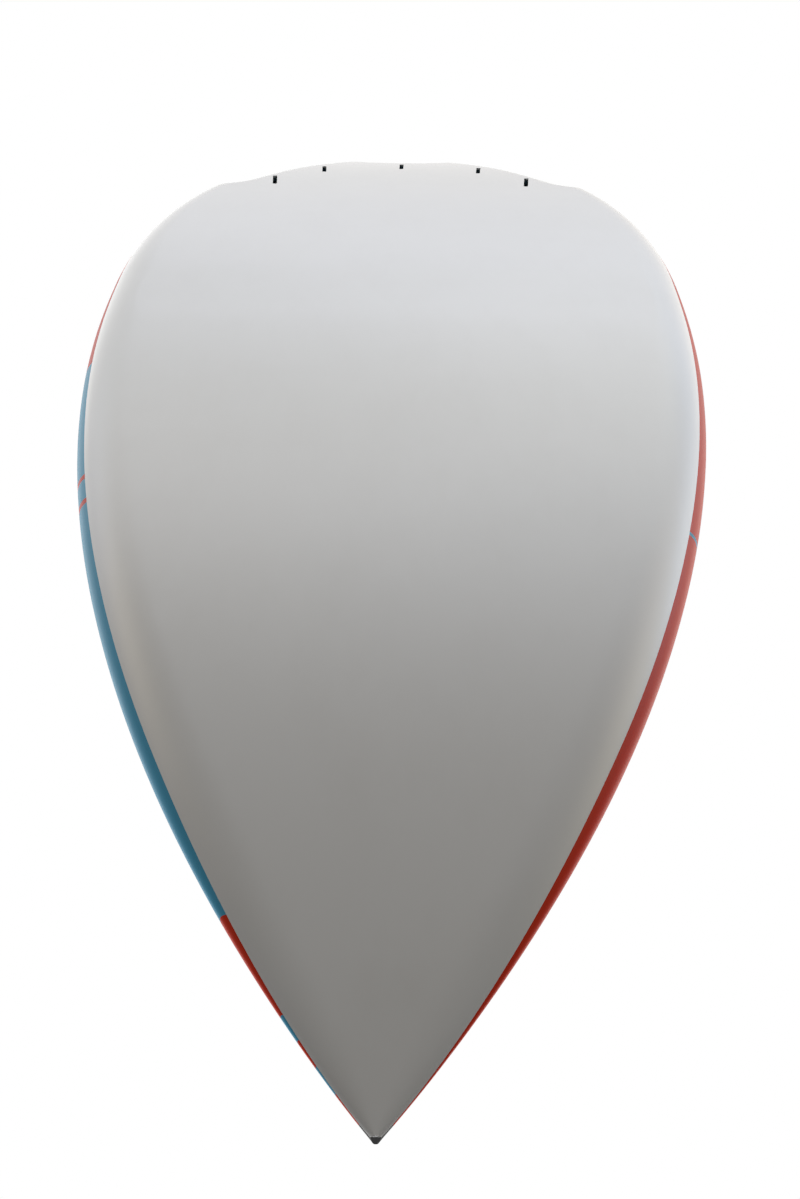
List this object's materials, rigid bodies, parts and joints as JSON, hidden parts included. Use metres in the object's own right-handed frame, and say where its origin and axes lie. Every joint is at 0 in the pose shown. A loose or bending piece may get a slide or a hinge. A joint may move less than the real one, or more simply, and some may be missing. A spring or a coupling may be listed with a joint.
{
  "type": "stand up paddleboard",
  "caption": "Surf-style hard stand up paddleboard with empty fin slots, swallow tail, carry handle, leash plug, air vent and grip pads.",
  "frame": {"origin": "mid-length on the centreline, on the flat that the bottom rests on", "axes": "+X to the nose, +Y to port, +Z to the deck"},
  "size_m": [2.571, 0.737, 0.288],
  "materials": {
    "bottom_gelcoat": "gloss",
    "deck_paint": "gloss",
    "nose_rubber": "satin",
    "sandwich_foam": "matte",
    "dense_foam": "matte",
    "stringer_wood": "matte",
    "core_foam": "matte",
    "handle_plastic": "matte",
    "box_plastic": "satin",
    "steel": "satin",
    "membrane_fabric": "matte",
    "vent_metal": "satin",
    "seal_rubber": "matte",
    "grip_foam": "matte"
  },
  "bodies": {
    "hull": {"bottom_skin": "bottom_gelcoat", "deck_skin": "deck_paint", "nose_guard": "nose_rubber", "deck_sandwich": "sandwich_foam", "fin_block_front_port": "dense_foam", "fin_block_front_starboard": "dense_foam", "fin_block_rear_port": "dense_foam", "fin_block_rear_starboard": "dense_foam", "fin_block_centre": "dense_foam", "handle_block": "dense_foam", "leash_block": "dense_foam", "stringer": "stringer_wood", "foam_core_port": "core_foam", "foam_core_starboard": "core_foam", "fin_box_front_port": "box_plastic", "fin_box_front_starboard": "box_plastic", "fin_box_rear_port": "box_plastic", "fin_box_rear_starboard": "box_plastic", "fin_box_centre": "box_plastic", "handle_bar": "handle_plastic", "handle_cup": "handle_plastic", "leash_plug_cup": "handle_plastic", "leash_plug_pin": "steel", "vent_body": "handle_plastic", "vent_membrane": "membrane_fabric", "grip_pad_front": "grip_foam", "grip_pad_middle_port": "grip_foam", "grip_pad_middle_starboard": "grip_foam", "grip_pad_rear_port": "grip_foam", "grip_pad_rear_starboard": "grip_foam", "grip_pad_tail_port": "grip_foam", "grip_pad_tail_starboard": "grip_foam", "arch_bar": "grip_foam", "tail_kick": "grip_foam"},
    "screw_front_port": {"grub_screw_front_port": "steel"},
    "screw_front_starboard": {"grub_screw_front_starboard": "steel"},
    "screw_rear_port": {"grub_screw_rear_port": "steel"},
    "screw_rear_starboard": {"grub_screw_rear_starboard": "steel"},
    "screw_centre": {"grub_screw_centre": "steel"},
    "vent_seal": {"vent_o_ring": "seal_rubber"},
    "vent_plug": {"vent_screw": "vent_metal"}
  },
  "joints": [
    {"name": "screw_front_port_turn", "type": "hinge", "parent": "hull", "child": "screw_front_port", "pos_m": [-0.82871, 0.19465, 0.04826], "axis": [-0.1257, 0.0066, -0.992], "range_deg": [0, 1080]},
    {"name": "screw_front_starboard_turn", "type": "hinge", "parent": "hull", "child": "screw_front_starboard", "pos_m": [-0.82871, -0.19465, 0.04826], "axis": [-0.1257, -0.0066, -0.992], "range_deg": [0, 1080]},
    {"name": "screw_rear_port_turn", "type": "hinge", "parent": "hull", "child": "screw_rear_port", "pos_m": [-1.01876, 0.12504, 0.07352], "axis": [-0.1537, 0.0054, -0.9881], "range_deg": [0, 1080]},
    {"name": "screw_rear_starboard_turn", "type": "hinge", "parent": "hull", "child": "screw_rear_starboard", "pos_m": [-1.01876, -0.12504, 0.07352], "axis": [-0.1537, -0.0054, -0.9881], "range_deg": [0, 1080]},
    {"name": "screw_centre_turn", "type": "hinge", "parent": "hull", "child": "screw_centre", "pos_m": [-1.08827, 0, 0.08412], "axis": [-0.1638, 0, -0.9865], "range_deg": [0, 1080]},
    {"name": "vent_lift", "type": "slide", "parent": "hull", "child": "vent_seal", "axis": [-0.1187, 0, 0.9929], "range_m": [0, 0.00375]},
    {"name": "vent_turn", "type": "hinge", "parent": "vent_seal", "child": "vent_plug", "pos_m": [0.56, 0, 0.14439], "axis": [-0.1187, 0, 0.9929], "range_deg": [0, 900]}
  ],
  "couplings": [
    {"joint": "vent_turn", "follows": "vent_lift", "rad_per_m": 4188.8}
  ]
}
